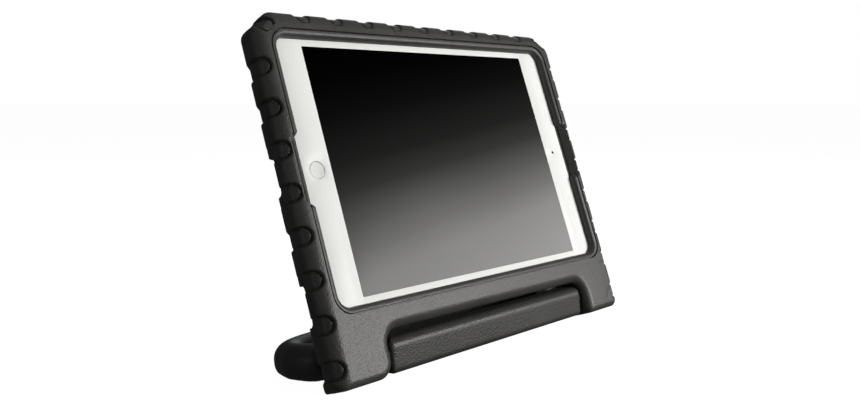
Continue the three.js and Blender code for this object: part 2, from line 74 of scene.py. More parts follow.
def on_case(points):
    p = np.asarray(points, float) * MM
    return SCREEN_MIDDLE + p[:, 0:1] * RIGHT + p[:, 1:2] * UP_CASE + p[:, 2:3] * OUT


def on_handle(points):
    p = np.asarray(points, float) * MM
    return HINGE + p[:, 0:1] * RIGHT + p[:, 1:2] * BACK + p[:, 2:3] * RISE


def resting(points):
    """The same points, with what the table flattens pressed up to it."""
    points[:, 2] = np.maximum(points[:, 2], 0)
    return points


# ------------------------------------------------------------------ mesh helpers

def add_mesh(name, points, faces, sharp=40):
    mesh = bpy.data.meshes.new(name)
    mesh.from_pydata(np.asarray(points).tolist(), [], faces)
    bm = bmesh.new()
    bm.from_mesh(mesh)
    bmesh.ops.remove_doubles(bm, verts=bm.verts, dist=1e-6)
    bmesh.ops.dissolve_degenerate(bm, edges=bm.edges, dist=1e-7)
    bmesh.ops.recalc_face_normals(bm, faces=bm.faces)
    bm.to_mesh(mesh)
    bm.free()
    mesh.shade_smooth()
    mesh.set_sharp_from_angle(angle=math.radians(sharp))
    piece = bpy.data.objects.new(name, mesh)
    bpy.context.scene.collection.objects.link(piece)
    return piece


def cylinder(radius, start, end, sides=64):
    """A plain cutting cylinder between two points, in metres."""
    start = np.asarray(start, float)
    axis = np.asarray(end, float) - start
    across = np.cross(axis, [0.3, 0.5, 0.8])
    across /= np.linalg.norm(across)
    other = np.cross(axis / np.linalg.norm(axis), across)
    turns = np.arange(sides) * 2 * math.pi / sides
    ring = radius * (np.cos(turns)[:, None] * across + np.sin(turns)[:, None] * other)
    points = np.vstack([start + ring, start + axis + ring])
    sides_faces = [(i, (i + 1) % sides, sides + (i + 1) % sides, sides + i) for i in range(sides)]
    caps = [tuple(range(sides)), tuple(range(2 * sides - 1, sides - 1, -1))]
    return add_mesh("cutter", points, sides_faces + caps)


def bore(piece, cutters):
    """Cuts the cutters out of the piece for good, and removes them."""
    for cutter in cutters:
        modifier = piece.modifiers.new("bore", "BOOLEAN")
        modifier.operation = "DIFFERENCE"
        modifier.solver = "MANIFOLD"
        modifier.object = cutter
    shown = piece.evaluated_get(bpy.context.evaluated_depsgraph_get())
    mesh = bpy.data.meshes.new_from_object(shown)
    piece.modifiers.clear()
    piece.data = mesh
    mesh.shade_smooth()
    mesh.set_sharp_from_angle(angle=math.radians(40))
    for cutter in cutters:
        bpy.data.objects.remove(cutter)


class Stitcher:
    """Collects rows of points that are closed loops, and stitches them with faces."""

    def __init__(self):
        self.points = []
        self.faces = []
        self.count = 0

    def row(self, points):
        start = self.count
        self.points.append(np.asarray(points, float))
        self.count += len(points)
        return range(start, self.count)

    def band(self, a, b):
        size = len(a)
        for i in range(size):
            j = (i + 1) % size
            self.faces.append((a[i], a[j], b[j], b[i]))

    def fill(self, outer, holes=()):
        """Flat triangles between an outer loop and the holes in it."""
        everything = np.vstack(self.points)
        index = list(outer)
        edges = [(i, (i + 1) % len(outer)) for i in range(len(outer))]
        for hole in holes:
            first = len(index)
            index += list(hole)
            size = len(hole)
            edges += [(first + i, first + (i + 1) % size) for i in range(size)]
        flat = [Vector(everything[i][:2]) for i in index]
        result = delaunay_2d_cdt(flat, edges, [], 1, 1e-5)
        origin = result[3]
        hole_loops = [everything[list(hole)][:, :2] for hole in holes]
        for face in result[2]:
            corners = [origin[i][0] for i in face]
            middle = np.mean([flat[i] for i in corners], axis=0)
            if any(inside_loop(middle[None], loop)[0] for loop in hole_loops):
                continue
            self.faces.append(tuple(index[i] for i in corners))

    def all_points(self):
        return np.vstack(self.points)


def inside_loop(points, loop):
    """Whether each point is inside a closed loop, by counting the edges to its right."""
    a = loop
    b = np.roll(loop, -1, axis=0)
    x = points[:, None, 0]
    y = points[:, None, 1]
    spans = (a[:, 1] > y) != (b[:, 1] > y)
    rise = np.where(b[:, 1] == a[:, 1], 1e-12, b[:, 1] - a[:, 1])
    cross = a[:, 0] + (y - a[:, 1]) * (b[:, 0] - a[:, 0]) / rise
    return (spans & (x < cross)).sum(axis=1) % 2 == 1


def smoothstep(x, low, high):
    s = np.clip((x - low) / (high - low), 0, 1)
    return s * s * (3 - 2 * s)


def soft_min(a, b, k):
    h = np.clip(0.5 + 0.5 * (b - a) / k, 0, 1)
    return b * (1 - h) + a * h - k * h * (1 - h)


def soft_max(a, b, k):
    return -soft_min(-a, -b, k)


def rounded_rect(half_w, half_h, radius, along_w, along_h, arc_steps):
    """A rounded rectangle's points, anticlockwise. along_w and along_h say where points
    lie on the straight edges, from -1 to 1."""
    straight_w = half_w - radius
    straight_h = half_h - radius
    turns = np.linspace(0, math.pi / 2, arc_steps + 1)
    points = []
    for quarter, (sx, sy) in enumerate([(1, 1), (-1, 1), (-1, -1), (1, -1)]):
        for turn in turns + quarter * math.pi / 2:
            x = sx * straight_w + radius * math.cos(turn)
            y = sy * straight_h + radius * math.sin(turn)
            points.append((x, y))
        for s in (along_w, along_h)[quarter % 2]:
            if quarter == 0:
                points.append((-s * straight_w, half_h))
            elif quarter == 1:
                points.append((-half_w, -s * straight_h))
            elif quarter == 2:
                points.append((s * straight_w, -half_h))
            else:
                points.append((half_w, s * straight_h))
    return np.array(points)


# ------------------------------------------------------------------ the foam case

CASE_HALF_W = 132
CASE_TOP = 94
CASE_BOTTOM = -119.5
CASE_FRONT = 5.5
CASE_BACK = -16
BETWEEN_PADS = 0.15  # how far the surface between the pads lies inside the CAD outline
CORNER_CUT = 14.5
LEG_W = 40
NOTCH_TOP = -94.5  # the ceiling over the handle's bar
GROOVE_HALF = (122.5, 82.3)
GROOVE_R = 12
OPENING_HALF = (118, 77.8)
POCKET_HALF = (120.5, 85.25)
POCKET_R = 11.5
POCKET_FLOOR = -7.8
LIP_UNDER = 0.3

PAD_PITCH = 24
SIDE_PADS_FROM = -108
SIDE_PADS = 8
TOP_PADS_EACH_WAY = 4  # beside the middle one
PAD_R = 4.5
RECESS_R = 5.3
PAD_IN = 1.7  # from the outline to the pads' axes
PAD_SUNK = 1.5  # how far the pads lie below the surface between them
FRONT_SUNK = 0.3  # and how far at their front ends
GROOVE_DEEP = 2.0  # how deep the grooves round the pads are
FRONT_DEEPER = 0.6  # how much deeper they are round the pads' front ends
PAD_REACH = 13  # how far from a pad the surface is moved, fading out before
FADE_FROM = 11.5

SIDE_OPENINGS = [0, -72]
SIDE_OPENING_W = 23
OPENING_OUTER_TOP = -5.6
OPENING_INNER_TOP = -2.1

HINGE_V = -106.8
HINGE_N = -6.2
HINGE_HOLE_R = 6.5
HINGE_HOLE_DEEP = 12.3
CAMERA_HOLE = (108, -72)
CAMERA_HOLE_R = 6

SIDE_U = CASE_HALF_W - BETWEEN_PADS
TOP_V = CASE_TOP - BETWEEN_PADS
NOTCH_U = CASE_HALF_W - LEG_W
CUT_U = CORNER_CUT + 0.2
CUT_V = CORNER_CUT - 2
TOP_DROP = 1.6  # how much lower the top edge is at the right than at the left
NOTCH_DROP = 1.2  # how much lower the ceiling over the handle's bar is there
RIGHT_TAPER = 4  # how far in the right side comes at the leg's foot

# The outline's corners, anticlockwise from the right leg's inner bottom corner: u, v
# and radius. Each edge runs from its corner to the next.
CORNERS = [
    (NOTCH_U, CASE_BOTTOM, 4),
    (SIDE_U - RIGHT_TAPER, CASE_BOTTOM, 6),
    (SIDE_U, TOP_V - CUT_V, 11),
    (SIDE_U - CUT_U, TOP_V - TOP_DROP, 11),
    (-SIDE_U + CUT_U, TOP_V, 6),
    (-SIDE_U, TOP_V - CUT_V, 6),
    (-SIDE_U, CASE_BOTTOM, 6),
    (-NOTCH_U, CASE_BOTTOM, 10.5),
    (-NOTCH_U, NOTCH_TOP, 9),
    (NOTCH_U, NOTCH_TOP - NOTCH_DROP, 9),
]
# Each edge's rounding to the front and to the back.
EDGE_FRONT = [4.5, 6, 6, 8, 7.7, 8.9, 4.5, 6, 6, 6]
EDGE_BACK = [2.6, 10.2, 9, 10.2, 9, 10.2, 2.6, 4.5, 4.5, 4.5]
RIGHT_SIDE, RIGHT_SLANT, TOP_EDGE, LEFT_SLANT, LEFT_SIDE = 1, 2, 3, 4, 5
ARC_STEPS = 10


def pads():
    """Each pad's place on the outline, the way out from there, how much further in its
    axis is, and how much of its depth there is in front and at the back."""
    found = []
    slant = CORNER_CUT / 2
    for side in (-1, 1):
        for i in range(SIDE_PADS):
            v = SIDE_PADS_FROM + i * PAD_PITCH
            beside_opening = side < 0 and any(abs(v - middle) < 13 for middle in SIDE_OPENINGS)
            taper = RIGHT_TAPER * (CASE_TOP - v) / (CASE_TOP - CASE_BOTTOM) if side > 0 else 0
            u = side * CASE_HALF_W - taper
            found.append((u, v, side, 0, 0, 1, 0.1 if beside_opening else 0.8))
        found.append((
            side * (CASE_HALF_W - slant), CASE_TOP - slant,
            side * math.sqrt(0.5), math.sqrt(0.5), 1.6, 1, 0.3,
        ))
    for i in range(-TOP_PADS_EACH_WAY, TOP_PADS_EACH_WAY + 1):
        u = i * PAD_PITCH
        drop = TOP_DROP * (u + CASE_HALF_W) / (2 * CASE_HALF_W)
        leftmost = i == -TOP_PADS_EACH_WAY
        found.append((u, CASE_TOP - drop, 0, 1, 1.1, 0.6, 0.1 if leftmost else 0.5))
    return found


def edge_frames():
    """Each edge's start, direction and inward normal."""
    corners = np.array([c[:2] for c in CORNERS], float)
    following = np.roll(corners, -1, axis=0)
    along = following - corners
    along = along / np.linalg.norm(along, axis=1)[:, None]
    inward = np.stack([-along[:, 1], along[:, 0]], axis=1)
    return corners, along, inward


EDGE_START, EDGE_ALONG, EDGE_INWARD = edge_frames()


def corner_arc(k, insets):
    """The points of corner k's arc, and the way out at each, with the edges moved in."""
    a = (k - 1) % len(CORNERS)
    turn = math.atan2(
        EDGE_ALONG[a, 0] * EDGE_ALONG[k, 1] - EDGE_ALONG[a, 1] * EDGE_ALONG[k, 0],
        EDGE_ALONG[a] @ EDGE_ALONG[k],
    )
    way = 1 if turn > 0 else -1
    radius = max(CORNERS[k][2] - way * (insets[a] + insets[k]) / 2, 0.02)
    lines = np.array([EDGE_INWARD[a], EDGE_INWARD[k]])
    offsets = lines @ EDGE_START[k] + [insets[a] + way * radius, insets[k] + way * radius]
    centre = np.linalg.solve(lines, offsets)
    start = math.atan2(-way * EDGE_INWARD[a, 1], -way * EDGE_INWARD[a, 0])
    turns = start + turn * np.linspace(0, 1, ARC_STEPS + 1)
    ways = np.stack([np.cos(turns), np.sin(turns)], axis=1)
    return centre + radius * ways, way * ways


def pad_columns(k):
    """Where an edge's points lie along it: close together across its pads."""
    places = []
    for x, y, out_x, out_y, _, _, _ in pads():
        if np.dot([out_x, out_y], EDGE_INWARD[k]) > -0.9:
            continue
        middle = (np.array([x, y]) - EDGE_START[k]) @ EDGE_ALONG[k]
        places += list(middle + np.linspace(-6.6, 6.6, 31))
    return places


def edge_columns():
    """For every edge, the points on its straight part, from 0 to 1."""
    plain = [0.0] * len(CORNERS)
    columns = []
    for k in range(len(CORNERS)):
        first = corner_arc(k, plain)[0][-1]
        last = corner_arc((k + 1) % len(CORNERS), plain)[0][0]
        start = (first - EDGE_START[k]) @ EDGE_ALONG[k]
        length = np.linalg.norm(last - first)
        if k in (RIGHT_SIDE, RIGHT_SLANT, TOP_EDGE, LEFT_SLANT, LEFT_SIDE):
            dense = np.array(sorted(pad_columns(k))) - start
            dense = dense[(dense > 0.15) & (dense < length - 0.15)]
            gaps = np.arange(2.0, length - 1, 2.4)
            free = [g for g in gaps if np.min(np.abs(dense - g)) > 1.2]
            places = np.sort(np.concatenate([dense, free]))
        else:
            places = np.linspace(0, length, max(int(length / 2.5), 2) + 1)[1:-1]
        columns.append(places / length)
    return columns


EDGE_COLUMNS = edge_columns()


def outline_row(insets, heights):
    """One closed row round the case: its points, and the way out at each."""
    arcs = [corner_arc(k, insets) for k in range(len(CORNERS))]
    points, ways = [], []
    blend = smoothstep(np.linspace(0, 1, ARC_STEPS + 1), 0, 1)
    for k, (arc, arc_ways) in enumerate(arcs):
        level = heights[k - 1] + (heights[k] - heights[k - 1]) * blend
        points.append(np.column_stack([arc, level]))
        ways.append(arc_ways)
        following = arcs[(k + 1) % len(arcs)][0][0]
        steps = EDGE_COLUMNS[k][:, None]
        straight = arc[-1] + (following - arc[-1]) * steps
        points.append(np.column_stack([straight, np.full(len(steps), heights[k])]))
        ways.append(np.repeat(-EDGE_INWARD[k][None], len(steps), axis=0))
    return np.vstack(points), np.vstack(ways)


def with_pads(points, normals):
    """Moves the outer surface's points along their normals onto the pads and recesses."""
    moved = points.copy()
    steps = np.linspace(1.4, -6.5, 80)
    for x, y, out_x, out_y, deeper, front_share, back_share in pads():
        near = np.hypot(points[:, 0] - x, points[:, 1] - y) < PAD_REACH
        index = np.nonzero(near)[0]
        samples = points[index][:, None, :] + steps[None, :, None] * normals[index][:, None, :]
        inset = PAD_IN + deeper
        across = np.hypot(samples[..., 0] - x + inset * out_x, samples[..., 1] - y + inset * out_y)
        surface = np.broadcast_to(steps, across.shape)
        forward = smoothstep(samples[..., 2], 1, 5.2)
        floor = surface + GROOVE_DEEP + FRONT_DEEPER * forward
        cut = soft_max(surface, soft_min(RECESS_R - across, floor, 0.5), 1)
        sunk = PAD_SUNK + (FRONT_SUNK - PAD_SUNK) * forward
        pad = soft_max(across - PAD_R, surface + sunk, 1.2)
        field = soft_min(cut, pad, 0.5)
        hit = np.argmax(field < 0, axis=1)
        hit = np.maximum(hit, 1)
        rows = np.arange(len(index))
        outer = field[rows, hit - 1]
        inner = field[rows, hit]
        share = np.clip(outer / np.where(outer == inner, 1, outer - inner), 0, 1)
        distance = steps[hit - 1] + share * (steps[hit] - steps[hit - 1])
        from_pad = np.hypot(points[index, 0] - x, points[index, 1] - y)
        fade = 1 - smoothstep(from_pad, FADE_FROM, PAD_REACH)
        backward = smoothstep(-points[index, 2], 1, 7)
        fade *= front_share + (back_share - front_share) * backward
        moved[index] = points[index] + (distance * fade)[:, None] * normals[index]
    return moved


def outer_rows():
    """The case's outer surface from the front face, round the edge, to the back."""
    rows = []
    front = np.array(EDGE_FRONT, float)
    back = np.array(EDGE_BACK, float)
    for turn in np.linspace(0, math.pi / 2, 20):
        insets = front * (1 - math.sin(turn))
        levels = CASE_FRONT - front * (1 - math.cos(turn))
        rows.append((insets, levels, math.sin(turn), math.cos(turn)))
    for share in (1 / 3, 2 / 3):
        levels = (CASE_FRONT - front) * (1 - share) + (CASE_BACK + back) * share
        rows.append((front * 0, levels, 1, 0))
    for turn in np.linspace(math.pi / 2, 0, 14):
        insets = back * (1 - math.sin(turn))
        levels = CASE_BACK + back * (1 - math.cos(turn))
        rows.append((insets, levels, math.sin(turn), -math.cos(turn)))
    return rows


# The finger scoops in the middle of the lip's short sides.
SCOOP_HALF = 21.8
SCOOP_END = 5
SCOOP_LOW = -2.4
SCOOP_FOOT = (120.9, 0.6)  # where the scoop's slope starts beside the tablet
SCOOP_SLOPE = 1.05


def lip_profile():
    """The lip from the groove's outer edge inwards: how far in, and how high."""
    reach = GROOVE_HALF[0] - OPENING_HALF[0]
    rows = [
        (0, CASE_FRONT),
        (0.06, 4.9),
        (0.1, 3.6),
        (0.72, 3.6),
        (0.78, 4.6),
        (1.0, 5.1),
    ]
    rise = 4.1
    start = rows[-1][0]
    fullness = 2 / 2.7
    for turn in np.linspace(0, math.pi / 2, 14)[1:]:
        inset = start + (reach - start) * math.sin(turn) ** fullness
        rows.append((inset, 5.1 - rise * (1 - max(math.cos(turn), 0) ** fullness)))
    rows.append((reach + 0.02, 0.7))
    rows.append((reach - 0.15, LIP_UNDER))
    return rows


def scoop_share(v):
    """How much of the lip is scooped away at a height v: 1 between the scoops' ends."""
    return 1 - smoothstep(np.abs(v), SCOOP_HALF - SCOOP_END, SCOOP_HALF)


def scooped(points):
    """Lowers what lies above the scoops' slopes."""
    out = np.abs(points[:, 0])
    limit = SCOOP_FOOT[1] + (out - SCOOP_FOOT[0]) * SCOOP_SLOPE + (1 - scoop_share(points[:, 1])) * 9
    points[:, 2] = np.where(out > SCOOP_FOOT[0], soft_min(points[:, 2], limit, 0.5), points[:, 2])
    return points


def lip_row(inset, level, depth):
    """One loop of the lip. Its depth says how far down the profile it is, from 0 to 1."""
    along_w = np.linspace(-1, 1, 60)[1:-1]
    dense = np.linspace(-0.34, 0.34, 91)
    rest = np.linspace(0.4, 1, 12)[:-1]
    along_h = np.concatenate([-rest[::-1], dense, rest])
    radius = max(GROOVE_R - inset, 1)
    loop = rounded_rect(GROOVE_HALF[0] - inset, GROOVE_HALF[1] - inset, radius, along_w, along_h, 14)
    level = np.full(len(loop), float(level))
    at_side = np.abs(loop[:, 0]) > GROOVE_HALF[0] - inset - 1e-6
    scoop = np.where(at_side, scoop_share(loop[:, 1]), 0)
    slope_end = 0.75
    out = SCOOP_FOOT[0] + (GROOVE_HALF[0] - SCOOP_FOOT[0]) * max(1 - depth / slope_end, 0)
    drop = SCOOP_FOOT[1] + (out - SCOOP_FOOT[0]) * SCOOP_SLOPE
    drop += (SCOOP_LOW - SCOOP_FOOT[1]) * max(depth - slope_end, 0) / (1 - slope_end)
    x = loop[:, 0] + (np.sign(loop[:, 0]) * out - loop[:, 0]) * scoop
    level = level + (drop - level) * scoop
    return np.column_stack([x, loop[:, 1], level])


def pocket_row(level):
    """The pocket's wall, with as many points as a lip row."""
    inset_w = GROOVE_HALF[0] - POCKET_HALF[0]
    row = lip_row(inset_w, 0, 1)
    row[:, 0] = np.clip(row[:, 0], -POCKET_HALF[0], POCKET_HALF[0])
    at_side = np.abs(row[:, 0]) > POCKET_HALF[0] - 1e-6
    loop_r = GROOVE_R - inset_w
    straight = GROOVE_HALF[1] - inset_w - loop_r
    new_straight = POCKET_HALF[1] - POCKET_R
    new_straight_w = POCKET_HALF[0] - POCKET_R
    old_straight_w = POCKET_HALF[0] - loop_r
    y = np.where(
        np.abs(row[:, 1]) > straight,
        np.sign(row[:, 1]) * (new_straight + (np.abs(row[:, 1]) - straight) * POCKET_R / loop_r),
        row[:, 1] * new_straight / straight,
    )
    x = np.where(
        np.abs(row[:, 0]) > old_straight_w,
        np.sign(row[:, 0]) * (new_straight_w + (np.abs(row[:, 0]) - old_straight_w) * POCKET_R / loop_r),
        row[:, 0] * new_straight_w / old_straight_w,
    )
    level = np.full(len(row), float(level))
    if level[0] > SCOOP_LOW:
        level = level + (SCOOP_LOW - 0.2 - level) * np.where(at_side, scoop_share(y), 0)
    return np.column_stack([x, y, level])


def side_opening(v):
    """A cutter for an opening in the left side's wall, with a ceiling that slopes up
    towards the tablet."""
    net = Stitcher()
    rings = []
    low = CASE_BACK - 4
    outside = (-CASE_HALF_W - 8, OPENING_OUTER_TOP - 2.4)
    inside = (-POCKET_HALF[0] + 0.2, OPENING_INNER_TOP)
    for u, top in (outside, inside):
        loop = rounded_rect(SIDE_OPENING_W / 2, (top - low) / 2, 2.5, [], [], 6)
        points = np.column_stack([np.full(len(loop), u), v + loop[:, 0], (top + low) / 2 + loop[:, 1]])
        rings.append(net.row(points))
    net.band(*rings)
    net.faces += [tuple(ring) for ring in rings]
    return add_mesh("cutter", on_case(net.all_points()), net.faces)


def make_case():
    net = Stitcher()
    rings = []
    outer_points, outer_normals = [], []
    for insets, levels, sideways, forward in outer_rows():
        points, ways = outline_row(insets, levels)
        outer_points.append(points)
        outer_normals.append(np.column_stack([ways * sideways, np.full(len(ways), forward)]))
    size = len(outer_points[0])
    moved = with_pads(np.vstack(outer_points), np.vstack(outer_normals))
    moved[:size, 2] = CASE_FRONT
    moved[-size:, 2] = CASE_BACK
    moved = scooped(moved)
    for i in range(len(outer_points)):
        rings.append(net.row(moved[i * size:(i + 1) * size]))
    for a, b in zip(rings, rings[1:]):
        net.band(a, b)
    profile = lip_profile()
    lip = [net.row(lip_row(*values, i / (len(profile) - 1))) for i, values in enumerate(profile)]
    lip.append(net.row(pocket_row(LIP_UNDER)))
    lip.append(net.row(pocket_row(POCKET_FLOOR)))
    for a, b in zip(lip, lip[1:]):
        net.band(a, b)
    net.fill(rings[0], [lip[0]])
    net.fill(rings[-1])
    net.fill(lip[-1])
    piece = add_mesh("case_foam", resting(on_case(net.all_points())), net.faces)
    cutters = []
    for side in (-1, 1):
        mouth = (side * (NOTCH_U - 3), HINGE_V, HINGE_N)
        bottom = (side * (NOTCH_U + HINGE_HOLE_DEEP), HINGE_V, HINGE_N)
        cutters.append(cylinder(HINGE_HOLE_R * MM, *on_case([mouth, bottom])))
    ends = on_case([(*CAMERA_HOLE, POCKET_FLOOR + 2), (*CAMERA_HOLE, CASE_BACK - 2)])
    cutters.append(cylinder(CAMERA_HOLE_R * MM, *ends))
    cutters += [side_opening(v) for v in SIDE_OPENINGS]
    bore(piece, cutters)
    return piece


# ------------------------------------------------------------------ the foam handle

HANDLE_HALF_T = 9
BAR_DEEPER = 2.2  # how much further down than that the bar and the arch reach
ARCH_DEEPER = 3
BAR_HALF_W = 90.3
BAR_FRONT = -7.5
BAR_BACK = 9
ARCH_HALF_W = 130
ARCH_WIDEST = 42
ARCH_FAR = 70
ARM_W = 19
BAR_EDGE_R = 5.4
BAR_LOW_R = 3.4
ARCH_EDGE_R = 9.4
HANDLE_BORE_R = 4.5


def smooth_line(points, steps):
    """A Catmull-Rom line through the points."""
    points = np.array(points, float)
    last = len(points) - 1
    out = []
    for s in np.linspace(0, last, steps + 1):
        i = min(int(s), last - 1)
        t = s - i
        p0, p1, p2, p3 = (points[min(max(i + d, 0), last)] for d in (-1, 0, 1, 2))
        v0 = (p2 - p0) / 2
        v1 = (p3 - p1) / 2
        cubed = 2 * p1 - 2 * p2 + v0 + v1
        squared = -3 * p1 + 3 * p2 - 2 * v0 - v1
        out.append(cubed * t ** 3 + squared * t * t + v0 * t + p1)
    return np.array(out)


def mirrored(right):
    """A closed loop from its right half."""
    left = right[::-1] * [-1, 1]
    return np.vstack([right, left])


def handle_loops():
    """The handle seen from above: its outline, and the hole's."""
    shoulder = [
        (BAR_HALF_W, BAR_BACK + 2),
        (BAR_HALF_W + 1.5, BAR_BACK + 5.8),
        (BAR_HALF_W + 8, BAR_BACK + 6.8),
        (BAR_HALF_W + 26, BAR_BACK + 8),
        (ARCH_HALF_W - 5, BAR_BACK + 13),
        (ARCH_HALF_W, ARCH_WIDEST - 8),
        (ARCH_HALF_W, ARCH_WIDEST),
        (ARCH_HALF_W - 4, ARCH_WIDEST + 12),
        (ARCH_HALF_W - 14, ARCH_FAR - 7),
        (ARCH_HALF_W - 30, ARCH_FAR - 1.5),
        (ARCH_HALF_W - 48, ARCH_FAR),
    ]
    inner = ARCH_HALF_W - ARM_W
    far = ARCH_FAR - ARM_W
    hole = [
        (BAR_HALF_W - 27, BAR_BACK),
        (BAR_HALF_W - 16, BAR_BACK + 3),
        (BAR_HALF_W - 11, BAR_BACK + 13),
        (BAR_HALF_W - 2, BAR_BACK + 22),
        (inner - 5, BAR_BACK + 26.5),
        (inner, ARCH_WIDEST + 1),
        (inner - 5, far - 3),
        (inner - 18, far),
    ]
    corner = 3.2
    turns = np.linspace(-math.pi / 2, 0, 6)
    front = np.array([BAR_HALF_W - corner, BAR_FRONT + corner])
    front = front + corner * np.stack([np.cos(turns), np.sin(turns)], axis=1)
    outline = np.vstack([front, smooth_line(shoulder, 60)])
    return mirrored(outline), mirrored(smooth_line(hole, 48))


HANDLE_LOOPS = handle_loops()


def plan_field(points):
    """Distance to the handle's outline in plan, less than zero inside the foam."""
    starts = np.vstack(HANDLE_LOOPS)
    ends = np.vstack([np.roll(loop, -1, axis=0) for loop in HANDLE_LOOPS])
    spans = ends - starts
    lengths = np.maximum((spans ** 2).sum(axis=1), 1e-9)
    nearest = np.full(len(points), 1e9)
    for start, span, length in zip(starts, spans, lengths):
        offset = points - start
        share = np.clip(offset @ span / length, 0, 1)
        gap = offset - share[:, None] * span
        nearest = np.minimum(nearest, (gap ** 2).sum(axis=1))
    inside = inside_loop(points, HANDLE_LOOPS[0]) & ~inside_loop(points, HANDLE_LOOPS[1])
    return np.where(inside, -1, 1) * np.sqrt(nearest)


def handle_field(points, plan):
    """Distance to the rounded handle, less than zero inside the foam."""
    back = smoothstep(points[:, 1], 3, 24)
    low = -HANDLE_HALF_T - BAR_DEEPER - (ARCH_DEEPER - BAR_DEEPER) * back
    middle = (low + HANDLE_HALF_T) / 2
    half = (HANDLE_HALF_T - low) / 2
    bar_r = BAR_LOW_R + (BAR_EDGE_R - BAR_LOW_R) * smoothstep(points[:, 2], -4, 4)
    radius = bar_r + (ARCH_EDGE_R - bar_r) * back
    aside = plan + radius
    above = np.abs(points[:, 2] - middle) - (half - radius)
    outside = np.hypot(np.maximum(aside, 0), np.maximum(above, 0))
    return np.minimum(np.maximum(aside, above), 0) + outside - radius


def surface_net(field, low, step):
    """Points and faces of the surface where a field on a grid is zero."""
    shape = np.array(field.shape)
    cells = shape - 1
    total = np.zeros((cells.prod(), 3))
    hits = np.zeros(cells.prod())
    quads = []
    for axis in range(3):
        first = np.take(field, range(shape[axis] - 1), axis=axis)
        second = np.take(field, range(1, shape[axis]), axis=axis)
        crossing = np.argwhere((first < 0) != (second < 0))
        f0 = first[tuple(crossing.T)]
        f1 = second[tuple(crossing.T)]
        place = crossing.astype(float)
        place[:, axis] += f0 / (f0 - f1)
        b = (axis + 1) % 3
        c = (axis + 2) % 3
        ids = []
        for db, dc in ((0, 0), (-1, 0), (-1, -1), (0, -1)):
            cell = crossing.copy()
            cell[:, b] += db
            cell[:, c] += dc
            number = np.ravel_multi_index(tuple(cell.T), tuple(cells))
            np.add.at(total, number, place)
            np.add.at(hits, number, 1)
            ids.append(number)
        quad = np.stack(ids, axis=1)
        flip = f0 > 0
        quad[flip] = quad[flip][:, ::-1]
        quads.append(quad)
    used = np.nonzero(hits)[0]
    number = np.full(len(hits), -1)
    number[used] = np.arange(len(used))
    points = low + step * total[used] / hits[used][:, None]
    return points, number[np.vstack(quads)]


def make_handle():
    step = 0.9
    low = np.array([-ARCH_HALF_W - 3, BAR_FRONT - 3, -HANDLE_HALF_T - ARCH_DEEPER - 3.0])
    high = np.array([ARCH_HALF_W + 3, ARCH_FAR + 3, HANDLE_HALF_T + 3])
    xs, ts, hs = (np.arange(low[i], high[i], step) for i in range(3))
    flat = np.stack(np.meshgrid(xs, ts, indexing="ij"), axis=-1).reshape(-1, 2)
    plan = plan_field(flat)
    grid = np.repeat(flat, len(hs), axis=0)
    grid = np.column_stack([grid, np.tile(hs, len(flat))])
    field = handle_field(grid, np.repeat(plan, len(hs))).reshape(len(xs), len(ts), len(hs))
    points, faces = surface_net(field, low, step)
    reach = 0.05
    for _ in range(2):
        value = handle_field(points, plan_field(points[:, :2]))
        slope = np.zeros_like(points)
        for axis in range(3):
            moved = points.copy()
            moved[:, axis] += reach
            slope[:, axis] = (handle_field(moved, plan_field(moved[:, :2])) - value) / reach
        size = np.maximum((slope ** 2).sum(axis=1), 0.2)
        points -= slope * (value / size)[:, None]
    piece = add_mesh("handle_foam", resting(on_handle(points)), faces.tolist(), sharp=80)
    ends = on_handle([(-BAR_HALF_W - 2, 0, 0), (BAR_HALF_W + 2, 0, 0)])
    bore(piece, [cylinder(HANDLE_BORE_R * MM, *ends)])
    return piece


# ------------------------------------------------------------------ the tablet's front

TABLET_HALF = (120, 84.75)
GLASS_INSET = 1.7
GLASS_R = 9.3
SCREEN_HALF = (98.55, 73.9)
HOME_U = -108.5
HOME_R = 5.2
CAMERA_U = 107.3
CAMERA_R = 1.15
GLASS_T = 1


def circle(u, v, radius, sides=64):
    turns = np.arange(sides) * 2 * math.pi / sides
    return np.stack([u + radius * np.cos(turns), v + radius * np.sin(turns)], axis=1)


def make_plate(name, outer, holes, low, high, soften):
    """A flat plate with softened edges. Each outline is a function of how far in it is."""
    net = Stitcher()
    tops, bottoms = [], []
    for way, outline in [(1, outer)] + [(-1, hole) for hole in holes]:
        levels = [(soften, high), (soften * 0.3, high - soften * 0.3), (0, high - soften), (0, low)]
        rows = [net.row(np.column_stack([outline(way * inset), np.full(len(outline(0)), level)]))
                for inset, level in levels]
        for a, b in zip(rows, rows[1:]):
            net.band(a, b)
        tops.append(rows[0])
        bottoms.append(rows[-1])
    net.fill(tops[0], tops[1:])
    net.fill(bottoms[0], bottoms[1:])
    return add_mesh(name, on_case(net.all_points()), net.faces, sharp=50)


def plain_rect(half_w, half_h, radius):
    steps = np.linspace(-1, 1, 24)[1:-1]

    def outline(inset):
        corner = max(radius - inset, 0.05)
        return rounded_rect(half_w - inset, half_h - inset, corner, steps, steps, 10)

    return outline


def make_front():
    border = make_plate(
        "front_glass_border",
        plain_rect(TABLET_HALF[0] - GLASS_INSET, TABLET_HALF[1] - GLASS_INSET, GLASS_R),
        [
            plain_rect(SCREEN_HALF[0], SCREEN_HALF[1], 0.4),
            lambda inset: circle(HOME_U, 0, HOME_R - inset),
            lambda inset: circle(CAMERA_U, 0, CAMERA_R - inset, 32),
        ],
        -GLASS_T, 0, 0.12,
    )
    panel = make_plate(
        "front_glass_screen",
        plain_rect(SCREEN_HALF[0] - 0.04, SCREEN_HALF[1] - 0.04, 0.4),
        [], -SCREEN_T, 0, 0.02,
    )
    return border, panel


